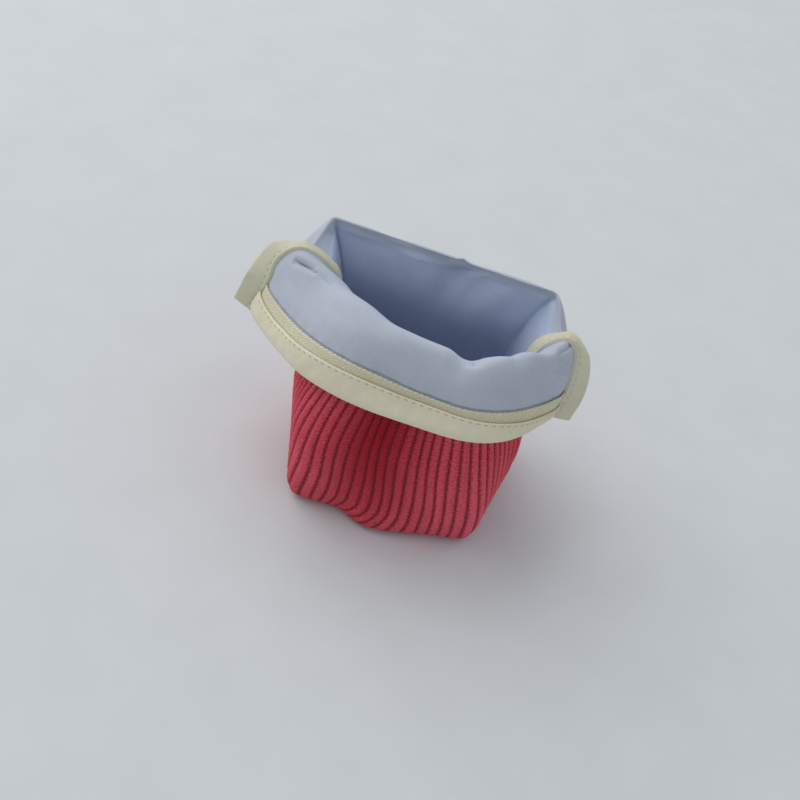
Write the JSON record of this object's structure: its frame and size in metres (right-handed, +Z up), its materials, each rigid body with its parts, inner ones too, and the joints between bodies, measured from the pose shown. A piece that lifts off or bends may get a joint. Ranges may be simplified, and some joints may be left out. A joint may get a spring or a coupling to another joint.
{
  "type": "corduroy pouch",
  "caption": "Small ribbed corduroy zip pouch with a cotton lining, standing open on a flat base with its mouth rolled down outside as a cuff.",
  "frame": {"origin": "centre of the flat base, on its underside", "axes": "+Z up out of the mouth, +X along the mouth's long side from seam to seam, -Y towards the front of the cuff"},
  "size_m": [0.1254, 0.0808, 0.0863],
  "materials": {
    "corduroy": "ribbed pile",
    "lining_cotton": "matt plain weave",
    "zip_twill": "matt twill",
    "band_cotton": "matt plain weave",
    "seam_binding": "matt plain weave"
  },
  "bodies": {
    "root": {"corduroy_shell": "corduroy", "cotton_lining": "lining_cotton", "zip_tape_front": "zip_twill", "zip_tape_back": "zip_twill", "mouth_binding_front": "band_cotton", "mouth_binding_back": "band_cotton", "side_binding_left": "seam_binding", "side_binding_right": "seam_binding"}
  },
  "joints": []
}
